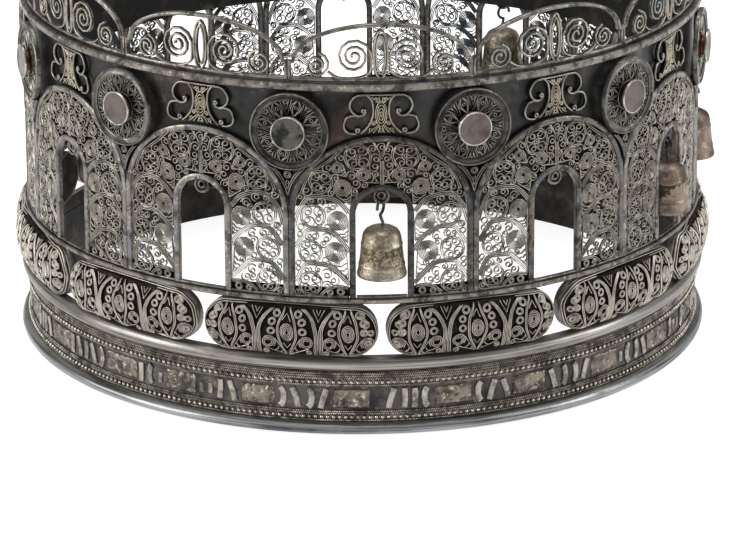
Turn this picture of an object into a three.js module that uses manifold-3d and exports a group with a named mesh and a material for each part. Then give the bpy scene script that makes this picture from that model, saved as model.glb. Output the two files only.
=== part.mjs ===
// A ceremonial crown in silver filigree: a round coronet that stands on its moulded foot ring.
// Millimetres, +Z up, origin at the middle of the foot's underside. Angles run from the front
// (-Y) towards +X. One bay is one arch with its window, and bays meet at the double pillars.

import * as THREE from 'three';
import { mergeVertices } from 'three/addons/utils/BufferGeometryUtils.js';
import Module from 'manifold-3d';

const wasm = await Module();
wasm.setup();

// The whole crown
const BAYS = 12;
const CLEARANCE = 0.3;
const FACE_RADIUS = 101;
const FLATS_PER_BAY = 3;

// Base band with its foot moulding, inscription field and two bead strips
const BAND_WALL = 2.1;
const FOOT_HEIGHT = 3.4;
const FOOT_PROJECTION = 2.4;
const LOWER_STRIP_HEIGHT = 3.0;
const FIELD_HEIGHT = 7.8;
const UPPER_STRIP_HEIGHT = 4.5;
const STRIP_PROJECTION = 0.2;
const FIELD_RECESS = 0.5;

// Shoulder rim, a half round tube above the band
const RIM_HEIGHT = 4.0;
const RIM_PROJECTION = 1.9;

// Oval cartouches, domed cushions standing on the rim
const OVAL_HEIGHT = 15.5;
const OVAL_GAP = 2.0;
const OVAL_EDGE_DEPTH = 3.0;
const OVAL_BULGE = 4.0;

// Arcade rail under the arches
const RAIL_HEIGHT = 1.4;
const RAIL_DEPTH = 2.0;
const RAIL_PROJECTION = 0.5;

// Arch panels
const PANEL_DEPTH = 1.6;
const PANEL_HEIGHT = 48.0;
const ARCH_RISE = 24.0;
const ARCH_BAND = 1.65;
const SILL = 0.6;
const WINDOW_WIDTH = 14.8;
const WINDOW_TOP = 31.9;
const WINDOW_HEAD_RISE = 7.0;
const WINDOW_FRAME = 1.6;
const LOOP_WIRE = 1.0;
const LOOP_SIDE_ROOM = 1.25;
const LOOP_SLACK = 2.9;

// Pierced openings of the filigree: three leaning drops above each other in each pier
const PIERCINGS = 3;
const PIERCING_RADIUS = 3.8;
const PIERCING_BAR = 1.0;

// Plain sheet drum behind the arch heads
const DRUM_WALL = 0.9;
const DRUM_OVERLAP = 2.7;

// Medallions over the pillars
const MEDALLION_RADIUS = 11.4;
const MEDALLION_RING = 1.6;
const MEDALLION_DEPTH = 1.4;
const MEDALLION_WEB = 0.8;
const DISC_RADIUS = 5.1;
const DISC_STANDOFF = 3.3;
const SPANDREL_START = 6.1;
const SPANDREL_EASE = 0.5;

// Lyre scrolls over the arch crowns
const SCROLL_WIDTH = 21.6;
const SCROLL_HEIGHT = 12.0;
const SCROLL_DEPTH = 1.3;
const SCROLL_WIRE = 0.8;

// Top rail and the low cresting above it
const TOP_RAIL_HEIGHT = 2.2;
const TOP_RAIL_WALL = 3.4;
const CREST_WALL = 1.6;
const CREST_HEIGHT = 17.0;
const CREST_VALLEY = 5.5;
const CREST_GAP = 2.0;

// Bells hung in the windows
const BELL_BAYS = [0, 2, 3, 5, 8];
const BELL_EASE = 0.3;
const BELL_HEIGHT = 14.5;
const BELL_WALL = 0.6;
const HOOK_WIRE = 0.9;
const HOOK_STEM = 2.9;

// Levels, each from the piece below it
const fieldFoot = FOOT_HEIGHT + LOWER_STRIP_HEIGHT;
const fieldTop = fieldFoot + FIELD_HEIGHT;
const bandTop = fieldTop + UPPER_STRIP_HEIGHT;
const rimFoot = bandTop + CLEARANCE;
const rimTop = rimFoot + RIM_HEIGHT;
const ovalFoot = rimTop + CLEARANCE;
const ovalTop = ovalFoot + OVAL_HEIGHT;
const railFoot = ovalTop + CLEARANCE;
const railTop = railFoot + RAIL_HEIGHT;
const panelFoot = railTop + CLEARANCE;
const panelTop = panelFoot + PANEL_HEIGHT;
const springing = panelTop - ARCH_RISE;
const windowTop = panelFoot + WINDOW_TOP;
const windowSpringing = windowTop - WINDOW_HEAD_RISE;
const drumFoot = windowTop - DRUM_OVERLAP;
const scrollFoot = panelTop + CLEARANCE;
const scrollTop = scrollFoot + SCROLL_HEIGHT;
const drumTop = scrollTop + CLEARANCE;
const medallionLevel = drumTop - MEDALLION_RADIUS;
const topRailFoot = drumTop + CLEARANCE;
const topRailTop = topRailFoot + TOP_RAIL_HEIGHT;
const crestFoot = topRailTop + CLEARANCE;
const crestTop = crestFoot + CREST_HEIGHT;

// Radii, each measured to the corners of the many-sided rings
const panelInner = FACE_RADIUS - PANEL_DEPTH;
const drumOuter = panelInner - CLEARANCE;
const drumInner = drumOuter - DRUM_WALL;
const bandInner = FACE_RADIUS - BAND_WALL;
const stripRadius = FACE_RADIUS + STRIP_PROJECTION;
const degree = Math.PI / 180;
const bayAngle = (2 * Math.PI) / BAYS;
const sides = BAYS * FLATS_PER_BAY;
const flatShare = Math.cos(Math.PI / sides);
const pillarHalfWidth = FACE_RADIUS * Math.sin(bayAngle / 2);

// What hangs in the window follows its width and the wires that pass each other
const bellRadius = WINDOW_WIDTH / 2 - BELL_EASE;
const loopWidth = 2 * LOOP_WIRE + HOOK_WIRE + 2 * LOOP_SIDE_ROOM;
const loopDrop = LOOP_WIRE + HOOK_WIRE + LOOP_SLACK;

// Finishes
function finish(color, roughness, metalness) {
  return new THREE.MeshStandardMaterial({ color, roughness, metalness });
}
const agedSilver = finish(0x6f6a62, 0.5, 1.0);
const rubbedSilver = finish(0x8d8a84, 0.38, 1.0);
const darkSilver = finish(0x3b3936, 0.6, 1.0);
const discSilver = finish(0xa79c98, 0.45, 0.9);
const bellMetal = finish(0x8a7d6c, 0.4, 1.0);

// A closed geometry becomes a solid that can be cut and joined, and a solid becomes a geometry
function solidOf(geometry) {
  const bare = geometry.clone();
  bare.deleteAttribute('normal');
  bare.deleteAttribute('uv');
  const merged = mergeVertices(bare, 1e-4);
  return new wasm.Manifold(
    new wasm.Mesh({
      numProp: 3,
      vertProperties: new Float32Array(merged.attributes.position.array),
      triVerts: new Uint32Array(merged.index.array),
    }),
  );
}

function geometryOf(solid) {
  const mesh = solid.getMesh();
  const geometry = new THREE.BufferGeometry();
  geometry.setAttribute('position', new THREE.BufferAttribute(new Float32Array(mesh.vertProperties), 3));
  geometry.setIndex(new THREE.BufferAttribute(new Uint32Array(mesh.triVerts), 1));
  geometry.computeVertexNormals();
  return geometry;
}

// A many-sided ring: its profile points are [radius, height] pairs, listed counterclockwise
function turnedRing(profile) {
  const points = profile.map(([radius, height]) => new THREE.Vector2(radius, height));
  points.push(points[0].clone());
  return new THREE.LatheGeometry(points, sides, Math.PI / sides).rotateX(Math.PI / 2);
}

function plainRing(innerRadius, outerRadius, foot, top) {
  return turnedRing([
    [innerRadius, foot],
    [outerRadius, foot],
    [outerRadius, top],
    [innerRadius, top],
  ]);
}

// An upright shape, drawn across and up, pushed outwards towards the front (-Y)
function outwardPrism(shape, from, to, curveSegments = 1) {
  const options = { depth: to - from, bevelEnabled: false, curveSegments };
  return new THREE.ExtrudeGeometry(shape, options).translate(0, 0, from).rotateX(Math.PI / 2);
}

// Points along an arc or an ellipse, counterclockwise from one angle to another
function arcPoints(across, up, radiusAcross, radiusUp, from, to, steps) {
  const points = [];
  for (let step = 0; step <= steps; step += 1) {
    const angle = from + ((to - from) * step) / steps;
    points.push(
      new THREE.Vector2(across + radiusAcross * Math.cos(angle), up + radiusUp * Math.sin(angle)),
    );
  }
  return points;
}

function polygonPath(across, up, radius, count) {
  const points = arcPoints(across, up, radius, radius, 0, 2 * Math.PI, count);
  points.pop();
  return new THREE.Path(points);
}

// Base band: foot moulding, bead strips and the field in one ring
function baseBand() {
  const foot = FACE_RADIUS + FOOT_PROJECTION;
  const footShoulder = FACE_RADIUS + FOOT_PROJECTION / 2;
  const field = FACE_RADIUS - FIELD_RECESS;
  return turnedRing([
    [bandInner, 0],
    [footShoulder, 0],
    [foot, FOOT_HEIGHT / 3],
    [foot, (FOOT_HEIGHT * 2) / 3],
    [stripRadius, FOOT_HEIGHT],
    [stripRadius, fieldFoot],
    [field, fieldFoot],
    [field, fieldTop],
    [stripRadius, fieldTop],
    [stripRadius, bandTop],
    [bandInner, bandTop],
  ]);
}

// Shoulder rim: a large half round moulding
function shoulderRim() {
  const middle = (rimFoot + rimTop) / 2;
  const outer = FACE_RADIUS + RIM_PROJECTION;
  const quarter = RIM_HEIGHT / 4;
  return turnedRing([
    [bandInner, rimFoot],
    [FACE_RADIUS, rimFoot],
    [outer, middle - quarter],
    [outer, middle + quarter],
    [FACE_RADIUS, rimTop],
    [bandInner, rimTop],
  ]);
}

// Oval cartouche: a grid block shaped into a cushion with full round ends, bent to the wall
function ovalCartouche() {
  const endRadius = OVAL_HEIGHT / 2;
  const endAngle = bayAngle / 2 - OVAL_GAP / 2 / FACE_RADIUS;
  const reach = endAngle * FACE_RADIUS;
  const straight = reach - endRadius;
  const columns = 6;
  const rows = 3;
  const block = new THREE.BoxGeometry(2, 2, 2, columns, rows, 1);
  const position = block.attributes.position;
  const lastStep = 22.5 * degree;
  const endSteps = [90 * degree, 54 * degree, lastStep];
  for (let index = 0; index < position.count; index += 1) {
    const column = Math.round(((position.getX(index) + 1) / 2) * columns) - columns / 2;
    const upShare = position.getY(index);
    const front = position.getZ(index) > 0;
    const side = Math.sign(column);
    const around = endSteps[Math.max(Math.abs(column) - 1, 0)];
    const onEnd = (endRadius * Math.cos(around)) / Math.cos(lastStep);
    const across = column === 0 ? 0 : side * (straight + onEnd);
    const halfHeight = column === 0 ? endRadius : endRadius * Math.sin(around);
    const up = upShare * halfHeight;
    const beyond = Math.max(Math.abs(across) - straight, 0);
    const fromSpine = Math.min(Math.hypot(beyond, up) / endRadius, 1);
    const rise = front ? OVAL_EDGE_DEPTH + OVAL_BULGE * Math.sqrt(1 - fromSpine * fromSpine) : 0;
    const radius = FACE_RADIUS + STRIP_PROJECTION - OVAL_EDGE_DEPTH + rise;
    const angle = across / FACE_RADIUS;
    position.setXYZ(
      index,
      radius * Math.sin(angle),
      -radius * Math.cos(angle),
      ovalFoot + endRadius + up,
    );
  }
  return block;
}

// Arch panel outlines. The outer one reaches past the pillar, and the bay wedge trims it
function archOutline() {
  const half = pillarHalfWidth;
  const points = [new THREE.Vector2(-half, panelFoot), new THREE.Vector2(half, panelFoot)];
  points.push(...arcPoints(0, springing, half, ARCH_RISE, 0, Math.PI, 8));
  return points;
}

function windowOutline(foot) {
  const half = WINDOW_WIDTH / 2;
  const points = [new THREE.Vector2(-half, foot), new THREE.Vector2(half, foot)];
  points.push(...arcPoints(0, windowSpringing, half, WINDOW_HEAD_RISE, 0, Math.PI, 4));
  return points;
}

// A drop in the pier: round on the pillar side, with its tail down by the window frame
function dropOutline(side, foot, top) {
  const pillarEdge = pillarHalfWidth - ARCH_BAND - CLEARANCE;
  const frameEdge = WINDOW_WIDTH / 2 + WINDOW_FRAME;
  const across = pillarEdge - PIERCING_RADIUS;
  const up = top - PIERCING_RADIUS;
  const tail = new THREE.Vector2(frameEdge + PIERCING_BAR, foot);
  const round = arcPoints(across, up, PIERCING_RADIUS, PIERCING_RADIUS, -70 * degree, 170 * degree, 3);
  const points = [tail, ...round];
  return side > 0 ? points : points.map((point) => new THREE.Vector2(-point.x, point.y)).reverse();
}

// Wedge of one bay, half a clearance inside the middle of each pillar
function bayWedge() {
  const apex = CLEARANCE / 2 / Math.sin(bayAngle / 2);
  const far = FACE_RADIUS * 1.2;
  const spread = far * Math.tan(bayAngle / 2);
  const plan = new THREE.Shape([
    new THREE.Vector2(0, -apex),
    new THREE.Vector2(-spread, -apex - far),
    new THREE.Vector2(spread, -apex - far),
  ]);
  return new THREE.ExtrudeGeometry(plan, { depth: panelTop + ARCH_RISE, bevelEnabled: false });
}

// U-shaped loop that hangs from the window head and carries the bell
function hangingLoop() {
  const half = loopWidth / 2;
  const foot = windowTop - loopDrop;
  const top = windowTop + WINDOW_FRAME / 2;
  const inner = half - LOOP_WIRE;
  const shape = new THREE.Shape([
    new THREE.Vector2(-half, top),
    new THREE.Vector2(-half, foot + LOOP_WIRE),
    new THREE.Vector2(-inner, foot),
    new THREE.Vector2(inner, foot),
    new THREE.Vector2(half, foot + LOOP_WIRE),
    new THREE.Vector2(half, top),
    new THREE.Vector2(inner, top),
    new THREE.Vector2(inner, foot + LOOP_WIRE),
    new THREE.Vector2(-inner, foot + LOOP_WIRE),
    new THREE.Vector2(-inner, top),
  ]);
  const middle = (FACE_RADIUS * flatShare + panelInner * flatShare) / 2;
  return outwardPrism(shape, middle - LOOP_WIRE / 2, middle + LOOP_WIRE / 2);
}

function archPanel() {
  const behind = panelInner / 2;
  const beyond = FACE_RADIUS * 1.2;
  const wall = solidOf(plainRing(panelInner, FACE_RADIUS, 0, panelTop + ARCH_RISE));
  const outline = solidOf(outwardPrism(new THREE.Shape(archOutline()), behind, beyond));
  const trimmed = outline.intersect(solidOf(bayWedge()));
  let panel = wall.intersect(trimmed);
  const opening = new THREE.Shape(windowOutline(panelFoot + SILL));
  panel = panel.subtract(solidOf(outwardPrism(opening, behind, beyond)));
  const pitch = (WINDOW_TOP - SILL) / PIERCINGS;
  for (let level = 0; level < PIERCINGS; level += 1) {
    const foot = panelFoot + SILL + PIERCING_BAR / 2 + level * pitch;
    for (const side of [-1, 1]) {
      const drop = new THREE.Shape(dropOutline(side, foot, foot + pitch));
      panel = panel.subtract(solidOf(outwardPrism(drop, behind, beyond)));
    }
  }
  return geometryOf(panel.add(solidOf(hangingLoop())));
}

// Medallion: flat ring, sunk web and a raised disc, with the spandrel filler behind its foot
function archHalfWidthAt(level) {
  const share = (level - springing) / ARCH_RISE;
  return pillarHalfWidth * Math.sqrt(Math.max(1 - share * share, 0));
}

function spandrelHalfWidth(level) {
  const archAngle = Math.asin(archHalfWidthAt(level) / panelInner);
  return panelInner * Math.sin(bayAngle / 2 - archAngle) - SPANDREL_EASE;
}

function medallion() {
  const back = FACE_RADIUS + CLEARANCE;
  const ringFace = back + MEDALLION_DEPTH;
  const webFace = back + MEDALLION_WEB;
  const discFace = back + DISC_STANDOFF;
  const profile = [
    [0, back],
    [MEDALLION_RADIUS, back],
    [MEDALLION_RADIUS, ringFace],
    [MEDALLION_RADIUS - MEDALLION_RING, ringFace],
    [MEDALLION_RADIUS - MEDALLION_RING, webFace],
    [DISC_RADIUS, webFace],
    [DISC_RADIUS, discFace],
    [0, discFace],
  ].map(([radius, depth]) => new THREE.Vector2(radius, depth));
  const turned = new THREE.LatheGeometry(profile, 10, Math.PI / 10).rotateX(Math.PI);
  turned.translate(0, 0, medallionLevel);

  const foot = springing + SPANDREL_START;
  const top = medallionLevel - MEDALLION_RADIUS / 2;
  const steps = 2;
  const right = [];
  for (let step = 0; step <= steps; step += 1) {
    const level = foot + ((top - foot) * step) / steps;
    right.push(new THREE.Vector2(Math.max(spandrelHalfWidth(level), CLEARANCE), level));
  }
  const left = right.map((point) => new THREE.Vector2(-point.x, point.y)).reverse();
  const filler = outwardPrism(new THREE.Shape([...right, ...left]), panelInner, back + MEDALLION_WEB / 2);
  return geometryOf(solidOf(turned).add(solidOf(filler)));
}

// Lyre scroll: four round lobes about a waist, pierced in the lobes
function lyreScroll() {
  const upperRadius = SCROLL_HEIGHT * 0.3;
  const lowerRadius = SCROLL_HEIGHT * 0.235;
  const upperOffset = SCROLL_WIDTH * 0.28;
  const lowerOffset = SCROLL_WIDTH / 2 - lowerRadius;
  const upperLevel = scrollTop - upperRadius;
  const lowerLevel = scrollFoot + lowerRadius;
  const upper = (side, from, to) =>
    arcPoints(side * upperOffset, upperLevel, upperRadius, upperRadius, from, to, 3);
  const lower = (side, from, to) =>
    arcPoints(side * lowerOffset, lowerLevel, lowerRadius, lowerRadius, from, to, 3);
  const shape = new THREE.Shape([
    ...lower(1, -90 * degree, 70 * degree),
    ...upper(1, -40 * degree, 90 * degree),
    ...upper(-1, 90 * degree, 220 * degree),
    ...lower(-1, 110 * degree, 270 * degree),
  ]);
  for (const side of [-1, 1]) {
    shape.holes.push(polygonPath(side * upperOffset, upperLevel, upperRadius - SCROLL_WIRE, 6));
  }
  const back = drumOuter * flatShare + CLEARANCE;
  return outwardPrism(shape, back, back + SCROLL_DEPTH);
}

// Cresting: a plain wall with a scalloped top, one rounded leaf over each bay
function cresting() {
  const inner = FACE_RADIUS - TOP_RAIL_WALL / 2 - CREST_WALL / 2;
  let wall = solidOf(plainRing(inner, inner + CREST_WALL, crestFoot, crestTop));
  const pitch = inner * Math.sin(bayAngle / 2);
  const valley = crestFoot + CREST_VALLEY;
  const half = pitch - CREST_GAP / 2;
  const rise = CREST_HEIGHT - CREST_VALLEY + CLEARANCE;
  const points = [
    ...arcPoints(-pitch, valley, half, rise, 0, 80 * degree, 3).reverse(),
    ...arcPoints(pitch, valley, half, rise, 100 * degree, 180 * degree, 3).reverse(),
  ];
  const notch = solidOf(outwardPrism(new THREE.Shape(points), inner / 2, inner * 1.2));
  for (let bay = 0; bay < BAYS; bay += 1) {
    const turn = ((bay + 0.5) * 360) / BAYS;
    wall = wall.subtract(notch.rotate([0, 0, turn]));
  }
  return geometryOf(wall);
}

// Bell: a hollow dome with a flared mouth, and the hook that passes through the hanging loop
function bell() {
  const hookInner = LOOP_WIRE + 2 * CLEARANCE;
  const hookOuter = hookInner + HOOK_WIRE;
  const loopBarTop = windowTop - loopDrop + LOOP_WIRE;
  const hookLevel = loopBarTop + CLEARANCE - hookInner;
  const crown = hookLevel - hookOuter - HOOK_STEM;
  const mouth = crown - BELL_HEIGHT;
  const shoulder = crown - BELL_HEIGHT * 0.13;
  const waist = crown - BELL_HEIGHT * 0.42;
  const profile = [
    [0, crown - BELL_WALL * 2],
    [bellRadius * 0.8 - BELL_WALL, waist],
    [bellRadius - BELL_WALL, mouth],
    [bellRadius, mouth],
    [bellRadius * 0.88, waist],
    [bellRadius * 0.6, shoulder],
    [0, crown],
  ].map(([radius, height]) => new THREE.Vector2(radius, height));
  const middle = ((FACE_RADIUS + panelInner) / 2) * flatShare;
  const body = new THREE.LatheGeometry(profile, 8).rotateX(Math.PI / 2);
  body.translate(0, -middle, 0);

  const half = HOOK_WIRE / 2;
  const outer = arcPoints(0, hookLevel, hookOuter, hookOuter, -Math.PI / 2, Math.PI, 4);
  const inner = arcPoints(0, hookLevel, hookInner, hookInner, Math.PI, -Math.PI / 2, 4);
  const hookShape = new THREE.Shape([...outer, ...inner]);
  const stemShape = new THREE.Shape([
    new THREE.Vector2(-half, crown - BELL_WALL),
    new THREE.Vector2(half, crown - BELL_WALL),
    new THREE.Vector2(half, hookLevel - hookInner - half),
    new THREE.Vector2(-half, hookLevel - hookInner - half),
  ]);
  const upright = (shape, thickness) =>
    new THREE.ExtrudeGeometry(shape, { depth: thickness, bevelEnabled: false })
      .translate(0, 0, -thickness / 2)
      .rotateX(Math.PI / 2)
      .rotateZ(Math.PI / 2)
      .translate(0, -middle, 0);
  const wire = solidOf(upright(hookShape, HOOK_WIRE)).add(solidOf(upright(stemShape, HOOK_WIRE * 0.8)));
  return geometryOf(solidOf(body).add(wire));
}

// Assembly
const group = new THREE.Group();

function place(name, geometry, material, turn = 0) {
  const mesh = new THREE.Mesh(geometry, material);
  mesh.name = name;
  mesh.rotation.z = turn;
  group.add(mesh);
}

place('base_band', baseBand(), agedSilver);
place('shoulder_rim', shoulderRim(), rubbedSilver);
place(
  'arcade_rail',
  plainRing(FACE_RADIUS + RAIL_PROJECTION - RAIL_DEPTH, FACE_RADIUS + RAIL_PROJECTION, railFoot, railTop),
  agedSilver,
);
place('drum_band', plainRing(drumInner, drumOuter, drumFoot, drumTop), darkSilver);
place(
  'top_rail',
  plainRing(
    FACE_RADIUS + RAIL_PROJECTION - TOP_RAIL_WALL,
    FACE_RADIUS + RAIL_PROJECTION,
    topRailFoot,
    topRailTop,
  ),
  rubbedSilver,
);
place('cresting', cresting(), agedSilver);

const ovalGeometry = ovalCartouche();
const panelGeometry = archPanel();
const medallionGeometry = medallion();
const scrollGeometry = lyreScroll();
const bellGeometry = bell();
for (let bay = 0; bay < BAYS; bay += 1) {
  const number = String(bay + 1).padStart(2, '0');
  const overWindow = bay * bayAngle;
  const overPillar = (bay + 0.5) * bayAngle;
  place(`oval_cartouche_${number}`, ovalGeometry, agedSilver, overPillar);
  place(`arch_panel_${number}`, panelGeometry, agedSilver, overWindow);
  place(`medallion_${number}`, medallionGeometry, discSilver, overPillar);
  place(`lyre_scroll_${number}`, scrollGeometry, agedSilver, overWindow);
}
BELL_BAYS.forEach((bay, index) => {
  place(`bell_${String(index + 1).padStart(2, '0')}`, bellGeometry, bellMetal, bay * bayAngle);
});

export default group;
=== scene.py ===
import math
import random
import bmesh
import bpy
import numpy as np
from mathutils import Matrix, Vector, noise


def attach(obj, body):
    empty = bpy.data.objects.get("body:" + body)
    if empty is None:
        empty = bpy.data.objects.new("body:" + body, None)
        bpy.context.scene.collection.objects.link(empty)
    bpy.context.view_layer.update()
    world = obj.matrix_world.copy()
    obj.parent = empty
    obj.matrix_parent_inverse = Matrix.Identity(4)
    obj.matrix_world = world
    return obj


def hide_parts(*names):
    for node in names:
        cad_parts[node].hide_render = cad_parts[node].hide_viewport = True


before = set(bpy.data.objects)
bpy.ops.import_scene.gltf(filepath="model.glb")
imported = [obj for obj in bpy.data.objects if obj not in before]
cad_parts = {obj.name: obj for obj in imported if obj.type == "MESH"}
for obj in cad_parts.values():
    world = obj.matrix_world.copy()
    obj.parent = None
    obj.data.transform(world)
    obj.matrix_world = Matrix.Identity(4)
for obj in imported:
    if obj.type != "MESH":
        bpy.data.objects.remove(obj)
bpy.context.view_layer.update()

# The view and the light
# The crown stands on a plain pale floor under large soft lamps. The camera is far off
# and a little above it, and turned slightly to the left of the front window.
MM = 0.001
BAYS = 12
BAY_ANGLE = 360 / BAYS

CAMERA_DISTANCE = 1428
CAMERA_HEIGHT_ANGLE = 20.0
CAMERA_SIDE_ANGLE = -3.24
CAMERA_ROLL = -0.3
AIM_RIGHT = 2.3
AIM_UP = 9.4
LENS = 227.8

side = math.radians(CAMERA_SIDE_ANGLE)
rise = math.radians(CAMERA_HEIGHT_ANGLE)
to_camera = Vector((math.sin(side) * math.cos(rise), -math.cos(side) * math.cos(rise), math.sin(rise)))
view_right = Vector((math.cos(side), math.sin(side), 0))
view_up = to_camera.cross(view_right)
target = (view_right * AIM_RIGHT + view_up * AIM_UP) * MM
camera_data = bpy.data.cameras.new("camera")
camera_data.lens = LENS
camera_data.sensor_width = 36
camera_data.clip_end = 20
camera = bpy.data.objects.new("camera", camera_data)
bpy.context.collection.objects.link(camera)
camera.matrix_world = (
    Matrix.Translation(target + to_camera * CAMERA_DISTANCE * MM)
    @ Matrix((view_right, view_up, to_camera)).transposed().to_4x4()
    @ Matrix.Rotation(math.radians(CAMERA_ROLL), 4, "Z")
)
bpy.context.scene.camera = camera
bpy.context.scene.view_settings.view_transform = "Standard"


def soft_lamp(name, place, width, depth, power, colour=(1, 1, 1)):
    lamp = bpy.data.lights.new(name, "AREA")
    lamp.shape = "RECTANGLE"
    lamp.size = width
    lamp.size_y = depth
    lamp.energy = power
    lamp.color = colour
    holder = bpy.data.objects.new(name, lamp)
    bpy.context.collection.objects.link(holder)
    holder.location = place
    holder.rotation_euler = (Vector((0, 0, 0.05)) - Vector(place)).to_track_quat("-Z", "Y").to_euler()


soft_lamp("lamp_above", (0.0, 0.15, 1.5), 1.3, 1.1, 17)
soft_lamp("lamp_left", (-1.5, -0.35, 0.55), 0.9, 1.0, 17)
soft_lamp("lamp_right", (1.4, -0.3, 0.7), 0.8, 0.9, 11, (0.98, 0.99, 1.0))
world = bpy.data.worlds.new("room")
world.use_nodes = True
world.node_tree.nodes["Background"].inputs["Color"].default_value = (0.97, 0.98, 1.0, 1)
world.node_tree.nodes["Background"].inputs["Strength"].default_value = 0.36
bpy.context.scene.world = world

bm = bmesh.new()
bmesh.ops.create_grid(bm, x_segments=1, y_segments=1, size=6)
floor_mesh = bpy.data.meshes.new("floor")
bm.to_mesh(floor_mesh)
bm.free()
floor = bpy.data.objects.new("floor", floor_mesh)
bpy.context.collection.objects.link(floor)
paper = bpy.data.materials.new("white_paper")
paper.use_nodes = True
paper_shader = paper.node_tree.nodes["Principled BSDF"]
for socket, value in (("Base Color", (0.45, 0.45, 0.45, 1)), ("Roughness", 0.9),
                      ("Emission Color", (1, 1, 1, 1)), ("Emission Strength", 0.75)):
    paper_shader.inputs[socket].default_value = value
floor_mesh.materials.append(paper)


# Base band
# A rolled foot, two narrow strips of beads and twisted wire, and the field between them.
# All of it is sheet silver soldered into one ring, with the foot's underside cut flat.
BAND_INNER = 98.9
FOOT_RADIUS = 103.3
FIELD_RADIUS = 100.4
BAND_TOP = 18.7
FIELD_LOW = 6.5
FIELD_HIGH = 14.1
FIELD_MIDDLE = 10.3
BEAD_RADIUS = 0.6
BEADS = 364
LOWER_BEADS = 4.75
UPPER_BEADS = 15.35
BEAD_LINE = 100.95
RING_STEPS = 216
RING_FOLD = 38
WIRE_SIDES = 8


def node_group(name, inputs, output):
    """An empty shader group: its tree, what it is given, where its result goes, and the place."""
    tree = bpy.data.node_groups.new(name, "ShaderNodeTree")
    for key in inputs:
        tree.interface.new_socket(key, in_out="INPUT", socket_type="NodeSocketFloat")
    tree.interface.new_socket(output, in_out="OUTPUT", socket_type="NodeSocketFloat")
    given = tree.nodes.new("NodeGroupInput").outputs
    result = tree.nodes.new("NodeGroupOutput").inputs[output]
    place = tree.nodes.new("ShaderNodeTexCoord").outputs["Object"]
    return tree, given, result, place


def shader_node(tree, kind, sockets, **settings):
    """A shader node with its settings, where each socket takes a plain value or a link."""
    made = tree.nodes.new("ShaderNode" + kind)
    for key, value in settings.items():
        setattr(made, key, value)
    for socket, value in sockets.items():
        if isinstance(value, bpy.types.NodeSocket):
            tree.links.new(value, made.inputs[socket])
        else:
            made.inputs[socket].default_value = value
    return made


def clouds_group():
    """Soft patches of tarnish, 0 to 1, in the metal's own space."""
    tree, given, result, place = node_group("TarnishClouds", ("Size", "Low", "High"), "Mask")
    cloud = shader_node(tree, "TexNoise", {"Vector": place, "Scale": given["Size"], "Detail": 5,
                                           "Roughness": 0.62})
    spread = shader_node(tree, "MapRange", {"Value": cloud.outputs["Fac"], "From Min": given["Low"],
                                            "From Max": given["High"]}, interpolation_type="SMOOTHSTEP")
    tree.links.new(spread.outputs["Result"], result)
    return tree


def drawn_group():
    """Streaks that run round a drawn moulding, as a mask."""
    tree, _, result, place = node_group("DrawnStreaks", (), "Mask")
    stretch = shader_node(tree, "Mapping", {"Vector": place, "Scale": (22, 22, 1700)})
    streak = shader_node(tree, "TexNoise", {"Vector": stretch.outputs["Vector"], "Scale": 1, "Detail": 4,
                                            "Roughness": 0.6})
    spread = shader_node(tree, "MapRange", {"Value": streak.outputs["Fac"], "From Min": 0.36,
                                            "From Max": 0.66}, interpolation_type="SMOOTHSTEP")
    tree.links.new(spread.outputs["Result"], result)
    return tree


def grain_group():
    """Fine hammering and pits as a height."""
    tree, given, result, place = node_group("FineGrain", ("Size",), "Height")
    hammer = shader_node(tree, "TexNoise", {"Vector": place, "Scale": given["Size"], "Detail": 3})
    pits = shader_node(tree, "TexVoronoi", {"Vector": place, "Scale": given["Size"]})
    height = shader_node(tree, "Math", {0: pits.outputs["Distance"], 1: 0.35, 2: hammer.outputs["Fac"]},
                         operation="MULTIPLY_ADD")
    tree.links.new(height.outputs["Value"], result)
    return tree


def ridge_highlight_group():
    """Painted highlight on the raised front of a piece and painted shade towards its back, partly also
    tarnish in the recesses: reads the piece's own front attribute, broken up by noise.
    """
    tree, given, result, place = node_group("RidgeHighlightAndShade", ("Reach",), "Mask")
    front = shader_node(tree, "Attribute", {}, attribute_name="front")
    ridge_noise = shader_node(tree, "TexNoise", {"Vector": place, "Scale": 380, "Detail": 3})
    shake = shader_node(tree, "Math", {0: ridge_noise.outputs["Fac"], 1: 0.9, 2: front.outputs["Fac"]},
                        operation="MULTIPLY_ADD")
    lit_ridge = shader_node(tree, "MapRange", {"Value": shake.outputs["Value"], "From Min": given["Reach"],
                                            "From Max": 1.6}, interpolation_type="SMOOTHSTEP")
    tree.links.new(lit_ridge.outputs["Result"], result)
    return tree


def twist_group():
    """The slanting grooves of a wire twisted and laid in a ring, as a height."""
    tree, given, result, place = node_group("TwistedWire", ("Twists",), "Height")
    apart = shader_node(tree, "SeparateXYZ", {"Vector": place})
    around = shader_node(tree, "Math", {0: apart.outputs["X"], 1: apart.outputs["Y"]}, operation="ARCTAN2")
    turns = shader_node(tree, "Math", {0: around.outputs["Value"], 1: given["Twists"]}, operation="MULTIPLY")
    slant = shader_node(tree, "Math", {0: apart.outputs["Z"], 1: 5200, 2: turns.outputs["Value"]},
                        operation="MULTIPLY_ADD")
    wave = shader_node(tree, "Math", {0: slant.outputs["Value"]}, operation="SINE")
    tree.links.new(wave.outputs["Value"], result)
    return tree


CLOUDS = clouds_group()
DRAWN = drawn_group()
GRAIN = grain_group()
RIDGE_HIGHLIGHT = ridge_highlight_group()
TWIST = twist_group()


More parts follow.
